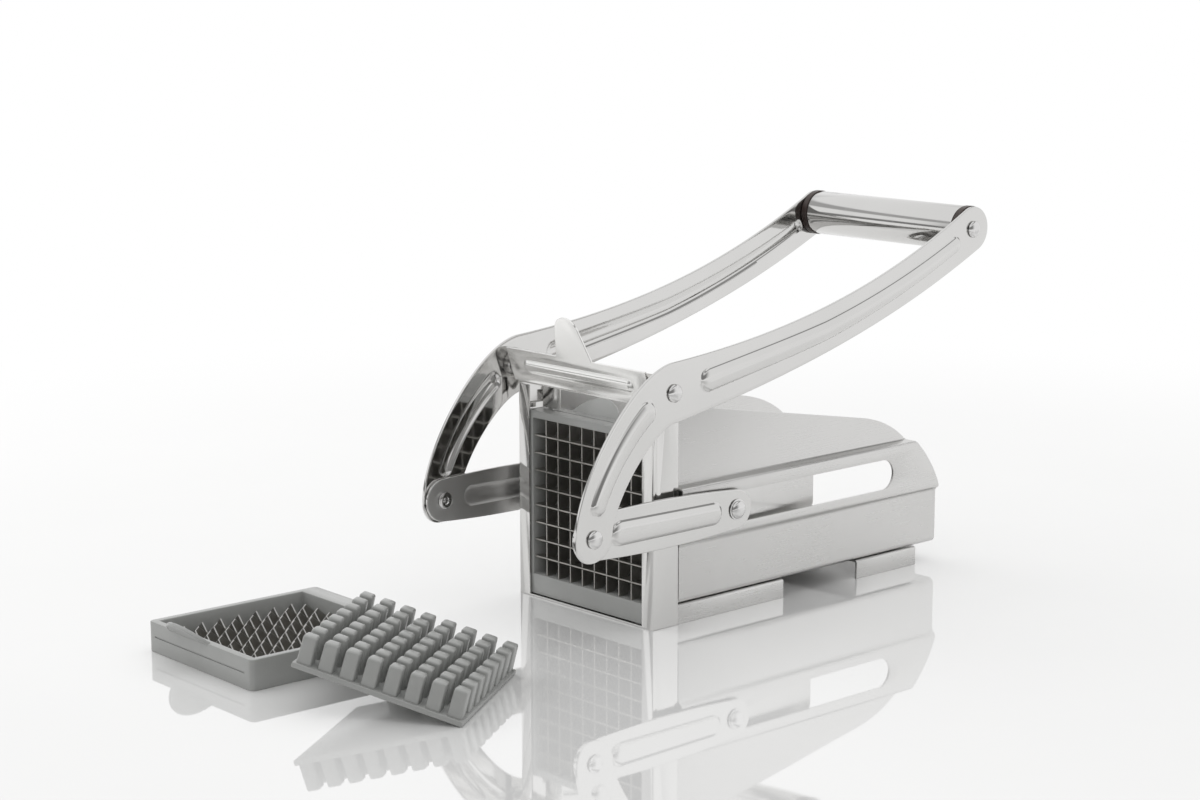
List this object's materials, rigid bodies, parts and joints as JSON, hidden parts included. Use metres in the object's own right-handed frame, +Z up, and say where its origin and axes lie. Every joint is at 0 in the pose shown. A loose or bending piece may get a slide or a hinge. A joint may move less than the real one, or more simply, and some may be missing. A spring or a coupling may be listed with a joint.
{
  "type": "french fry cutter",
  "caption": "Lever-operated french fry cutter: a handle and links push a pegged block through a channel against an interlocked blade grid, with a spare grid and block beside it.",
  "frame": {"origin": "middle of the front frame's underside, on the table", "axes": "+Z up, +Y back along the food channel towards the grip, +X to the right seen from the grip's opposite end with the fries leaving towards -Y"},
  "size_m": [0.1991, 0.4579, 0.1973],
  "materials": {
    "polished_steel": "polished stainless",
    "satin_steel": "satin stainless",
    "rivet_steel": "polished",
    "blade_steel": "ground strip",
    "grey_plastic": "moulded satin",
    "dark_plastic": "moulded"
  },
  "bodies": {
    "base": {"front_frame": "polished_steel", "food_channel": "satin_steel", "front_foot": "satin_steel", "rear_foot": "satin_steel", "pivot_rivet_right": "rivet_steel", "pivot_rivet_left": "rivet_steel", "pivot_spacer_right": "rivet_steel", "pivot_spacer_left": "rivet_steel", "fine_cassette": "grey_plastic", "fine_level_blade_1": "blade_steel", "fine_level_blade_2": "blade_steel", "fine_level_blade_3": "blade_steel", "fine_level_blade_4": "blade_steel", "fine_level_blade_5": "blade_steel", "fine_level_blade_6": "blade_steel", "fine_level_blade_7": "blade_steel", "fine_level_blade_8": "blade_steel", "fine_upright_blade_1": "blade_steel", "fine_upright_blade_2": "blade_steel", "fine_upright_blade_3": "blade_steel", "fine_upright_blade_4": "blade_steel", "fine_upright_blade_5": "blade_steel", "fine_upright_blade_6": "blade_steel", "fine_upright_blade_7": "blade_steel", "fine_upright_blade_8": "blade_steel", "spare_cassette": "grey_plastic", "spare_level_blade_1": "blade_steel", "spare_level_blade_2": "blade_steel", "spare_level_blade_3": "blade_steel", "spare_level_blade_4": "blade_steel", "spare_level_blade_5": "blade_steel", "spare_level_blade_6": "blade_steel", "spare_level_blade_7": "blade_steel", "spare_upright_blade_1": "blade_steel", "spare_upright_blade_2": "blade_steel", "spare_upright_blade_3": "blade_steel", "spare_upright_blade_4": "blade_steel", "spare_upright_blade_5": "blade_steel", "spare_upright_blade_6": "blade_steel", "spare_upright_blade_7": "blade_steel", "spare_pusher_block": "grey_plastic"},
    "handle": {"handle_arm_right": "polished_steel", "handle_arm_left": "polished_steel", "grip_tube": "polished_steel", "grip_cap_right": "dark_plastic", "grip_cap_left": "dark_plastic", "grip_rod": "rivet_steel", "crank_rivet_right": "rivet_steel", "crank_rivet_left": "rivet_steel"},
    "links": {"link_right": "polished_steel", "link_left": "polished_steel", "slide_rivet_right": "rivet_steel", "slide_rivet_left": "rivet_steel"},
    "pusher": {"pusher_carriage": "satin_steel", "fine_pusher_block": "grey_plastic", "slide_bush_right": "grey_plastic", "slide_bush_left": "grey_plastic", "slide_pin_right": "rivet_steel", "slide_pin_left": "rivet_steel"},
    "latch": {"blade_latch": "polished_steel"}
  },
  "joints": [
    {"name": "handle_lift", "type": "hinge", "parent": "base", "child": "handle", "pos_m": [0, -0.00235, 0.12175], "axis": [1, 0, 0], "range_deg": [0, 80]},
    {"name": "link_swing", "type": "hinge", "parent": "handle", "child": "links", "pos_m": [0, -0.0555, 0.0565], "axis": [1, 0, 0], "range_deg": [-81, 0]},
    {"name": "pusher_slide", "type": "slide", "parent": "base", "child": "pusher", "axis": [0, 1, 0], "range_m": [0, 0.1083]},
    {"name": "latch_open", "type": "hinge", "parent": "base", "child": "latch", "pos_m": [0, -0.00235, 0.12175], "axis": [1, 0, 0], "range_deg": [-75, 0]}
  ],
  "couplings": [
    {"joint": "link_swing", "follows": "handle_lift", "ratio": -1.0114},
    {"joint": "pusher_slide", "follows": "handle_lift", "m_per_rad": 0.077458}
  ]
}
